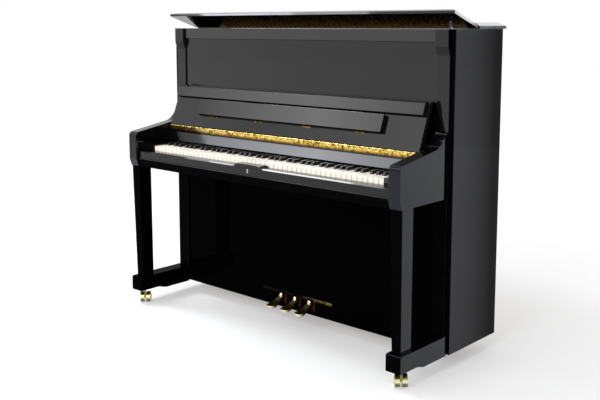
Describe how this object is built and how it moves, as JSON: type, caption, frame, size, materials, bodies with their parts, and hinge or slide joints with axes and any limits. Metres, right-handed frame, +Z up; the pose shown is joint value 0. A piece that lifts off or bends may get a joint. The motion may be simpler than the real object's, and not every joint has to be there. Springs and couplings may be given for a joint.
{
  "type": "upright piano",
  "caption": "Upright piano with a black gloss case, open fallboard with a folding music shelf, tilting lid flap, pedals, casters and a moving key action.",
  "frame": {"origin": "on the floor, under the middle of the overall width and depth", "axes": "+X towards the treble end of the keyboard, +Y from the player towards the back, +Z up"},
  "size_m": [1.488, 0.612, 1.2773],
  "materials": {
    "black_polyester": "black polyester, polished to a mirror gloss",
    "brass": "polished brass",
    "nickel": "polished nickel plate",
    "white_key": "ivory-white key covers, gloss",
    "black_key": "black satin sharps",
    "steel_wire": "bright drawn wire",
    "bronzed_iron": "bronze lacquer on cast iron",
    "spruce": "clear varnish",
    "back_timber": "clear satin lacquer",
    "beech": "plain planed wood",
    "felt": "pressed wool felt"
  },
  "bodies": {
    "case": {"action_frame": "beech", "back_beams": "back_timber", "back_posts": "back_timber", "bottom_board": "back_timber", "bottom_panel": "black_polyester", "bottom_rail": "black_polyester", "fallboard_hinge": "brass", "iron_plate": "bronzed_iron", "key_bed": "black_polyester", "key_blocks": "black_polyester", "key_frame": "spruce", "key_slip": "black_polyester", "left_arm": "black_polyester", "left_leg": "black_polyester", "left_side_panel": "black_polyester", "left_stile": "black_polyester", "left_toe_block": "black_polyester", "lid_hinge": "brass", "lid_rear": "black_polyester", "lock": "nickel", "nameboard": "black_polyester", "pedal_plate": "brass", "right_arm": "black_polyester", "right_leg": "black_polyester", "right_side_panel": "black_polyester", "right_stile": "black_polyester", "right_toe_block": "black_polyester", "soundboard": "spruce", "soundboard_ribs": "spruce", "strings": "steel_wire", "top_rail": "black_polyester", "upper_panel": "black_polyester"},
    "lid_flap": {"lid_flap": "black_polyester"},
    "lid_prop": {"lid_prop": "black_polyester"},
    "fallboard": {"fallboard_panel": "black_polyester", "fallboard_lip": "black_polyester", "shelf_hinges": "brass"},
    "music_shelf": {"music_shelf": "black_polyester"},
    "left_pedal": {"left_pedal": "brass"},
    "left_pedal_rod": {"left_pedal_rod": "beech"},
    "middle_pedal": {"middle_pedal": "brass"},
    "middle_pedal_rod": {"middle_pedal_rod": "beech"},
    "right_pedal": {"right_pedal": "brass"},
    "right_pedal_rod": {"right_pedal_rod": "beech"},
    "dampers": {"dampers": "felt"},
    "muffler_rail": {"muffler_rail": "felt"},
    "white_keys": {"white_keys": "white_key"},
    "black_keys": {"black_keys": "black_key"},
    "white_whippens": {"white_whippens": "beech"},
    "black_whippens": {"black_whippens": "beech"},
    "white_hammers": {"white_hammers": "felt"},
    "black_hammers": {"black_hammers": "felt"},
    "front_left_caster_fork": {"front_left_caster_fork": "brass"},
    "front_left_caster_wheels": {"front_left_caster_wheels": "brass"},
    "front_right_caster_fork": {"front_right_caster_fork": "brass"},
    "front_right_caster_wheels": {"front_right_caster_wheels": "brass"},
    "rear_left_caster_fork": {"rear_left_caster_fork": "brass"},
    "rear_left_caster_wheels": {"rear_left_caster_wheels": "brass"},
    "rear_right_caster_fork": {"rear_right_caster_fork": "brass"},
    "rear_right_caster_wheels": {"rear_right_caster_wheels": "brass"}
  },
  "joints": [
    {"name": "lid_flap_hinge", "type": "hinge", "parent": "case", "child": "lid_flap", "pos_m": [0, 0.115, 1.233], "axis": [-1, 0, 0], "range_deg": [-18.5, 159]},
    {"name": "lid_prop_hinge", "type": "hinge", "parent": "lid_flap", "child": "lid_prop", "pos_m": [0.69, 0.021, 1.23465], "axis": [1, 0, 0], "range_deg": [0, 65]},
    {"name": "fallboard_pivot", "type": "hinge", "parent": "case", "child": "fallboard", "pos_m": [0, -0.121, 0.786], "axis": [-1, 0, 0], "range_deg": [-131, 0]},
    {"name": "music_shelf_hinge", "type": "hinge", "parent": "fallboard", "child": "music_shelf", "pos_m": [0, -0.10334, 0.83813], "axis": [1, 0, 0], "range_deg": [0, 88]},
    {"name": "left_pedal_press", "type": "hinge", "parent": "case", "child": "left_pedal", "pos_m": [-0.077, 0.051, 0.103], "axis": [1, 0, 0], "range_deg": [0, 7], "stiffness_Nm_per_rad": 20, "springref_deg": -5.73},
    {"name": "left_pedal_rod_lift", "type": "slide", "parent": "case", "child": "left_pedal_rod", "axis": [0, 0, 1], "range_m": [0, 0.0125]},
    {"name": "middle_pedal_press", "type": "hinge", "parent": "case", "child": "middle_pedal", "pos_m": [0.001, 0.051, 0.103], "axis": [1, 0, 0], "range_deg": [0, 7], "stiffness_Nm_per_rad": 20, "springref_deg": -5.73},
    {"name": "middle_pedal_rod_lift", "type": "slide", "parent": "case", "child": "middle_pedal_rod", "axis": [0, 0, 1], "range_m": [0, 0.0125]},
    {"name": "right_pedal_press", "type": "hinge", "parent": "case", "child": "right_pedal", "pos_m": [0.079, 0.051, 0.103], "axis": [1, 0, 0], "range_deg": [0, 7], "stiffness_Nm_per_rad": 20, "springref_deg": -5.73},
    {"name": "right_pedal_rod_lift", "type": "slide", "parent": "case", "child": "right_pedal_rod", "axis": [0, 0, 1], "range_m": [0, 0.0125]},
    {"name": "dampers_lift", "type": "hinge", "parent": "case", "child": "dampers", "pos_m": [0, 0.149, 0.795], "axis": [1, 0, 0], "range_deg": [0, 3]},
    {"name": "muffler_drop", "type": "slide", "parent": "case", "child": "muffler_rail", "axis": [0, 0, -1], "range_m": [0, 0.025]},
    {"name": "white_keys_press", "type": "hinge", "parent": "case", "child": "white_keys", "pos_m": [0, -0.019, 0.6865], "axis": [1, 0, 0], "range_deg": [0, 2.48], "stiffness_Nm_per_rad": 400, "springref_deg": -2.86},
    {"name": "white_whippens_lift", "type": "hinge", "parent": "case", "child": "white_whippens", "pos_m": [0, 0.123, 0.785], "axis": [1, 0, 0], "range_deg": [-7, 0]},
    {"name": "white_hammers_swing", "type": "hinge", "parent": "case", "child": "white_hammers", "pos_m": [0, 0.117, 0.838], "axis": [1, 0, 0], "range_deg": [-20.6, 0]},
    {"name": "black_keys_press", "type": "hinge", "parent": "case", "child": "black_keys", "pos_m": [0, -0.019, 0.6865], "axis": [1, 0, 0], "range_deg": [0, 2.48], "stiffness_Nm_per_rad": 400, "springref_deg": -2.86},
    {"name": "black_whippens_lift", "type": "hinge", "parent": "case", "child": "black_whippens", "pos_m": [0, 0.123, 0.785], "axis": [1, 0, 0], "range_deg": [-7, 0]},
    {"name": "black_hammers_swing", "type": "hinge", "parent": "case", "child": "black_hammers", "pos_m": [0, 0.117, 0.838], "axis": [1, 0, 0], "range_deg": [-20.6, 0]},
    {"name": "front_left_swivel", "type": "hinge", "parent": "case", "child": "front_left_caster_fork", "pos_m": [-0.696, -0.254, 0.04], "axis": [0, 0, 1], "continuous": true},
    {"name": "front_left_roll", "type": "hinge", "parent": "front_left_caster_fork", "child": "front_left_caster_wheels", "pos_m": [-0.70202, -0.24731, 0.023], "axis": [0.7431, 0.6691, 0], "continuous": true},
    {"name": "front_right_swivel", "type": "hinge", "parent": "case", "child": "front_right_caster_fork", "pos_m": [0.696, -0.254, 0.04], "axis": [0, 0, 1], "continuous": true},
    {"name": "front_right_roll", "type": "hinge", "parent": "front_right_caster_fork", "child": "front_right_caster_wheels", "pos_m": [0.68998, -0.24731, 0.023], "axis": [0.7431, 0.6691, 0], "continuous": true},
    {"name": "rear_left_swivel", "type": "hinge", "parent": "case", "child": "rear_left_caster_fork", "pos_m": [-0.6, 0.211, 0.04], "axis": [0, 0, 1], "continuous": true},
    {"name": "rear_left_roll", "type": "hinge", "parent": "rear_left_caster_fork", "child": "rear_left_caster_wheels", "pos_m": [-0.60602, 0.21769, 0.023], "axis": [0.7431, 0.6691, 0], "continuous": true},
    {"name": "rear_right_swivel", "type": "hinge", "parent": "case", "child": "rear_right_caster_fork", "pos_m": [0.6, 0.211, 0.04], "axis": [0, 0, 1], "continuous": true},
    {"name": "rear_right_roll", "type": "hinge", "parent": "rear_right_caster_fork", "child": "rear_right_caster_wheels", "pos_m": [0.59398, 0.21769, 0.023], "axis": [0.7431, 0.6691, 0], "continuous": true}
  ],
  "couplings": [
    {"joint": "left_pedal_rod_lift", "follows": "left_pedal_press", "m_per_rad": 0.096},
    {"joint": "middle_pedal_rod_lift", "follows": "middle_pedal_press", "m_per_rad": 0.096},
    {"joint": "right_pedal_rod_lift", "follows": "right_pedal_press", "m_per_rad": 0.096},
    {"joint": "dampers_lift", "follows": "right_pedal_press", "ratio": 0.357},
    {"joint": "muffler_drop", "follows": "middle_pedal_press", "m_per_rad": 0.19},
    {"joint": "white_whippens_lift", "follows": "white_keys_press", "ratio": -2.6},
    {"joint": "white_hammers_swing", "follows": "white_keys_press", "ratio": -8},
    {"joint": "black_whippens_lift", "follows": "black_keys_press", "ratio": -2.6},
    {"joint": "black_hammers_swing", "follows": "black_keys_press", "ratio": -8}
  ]
}
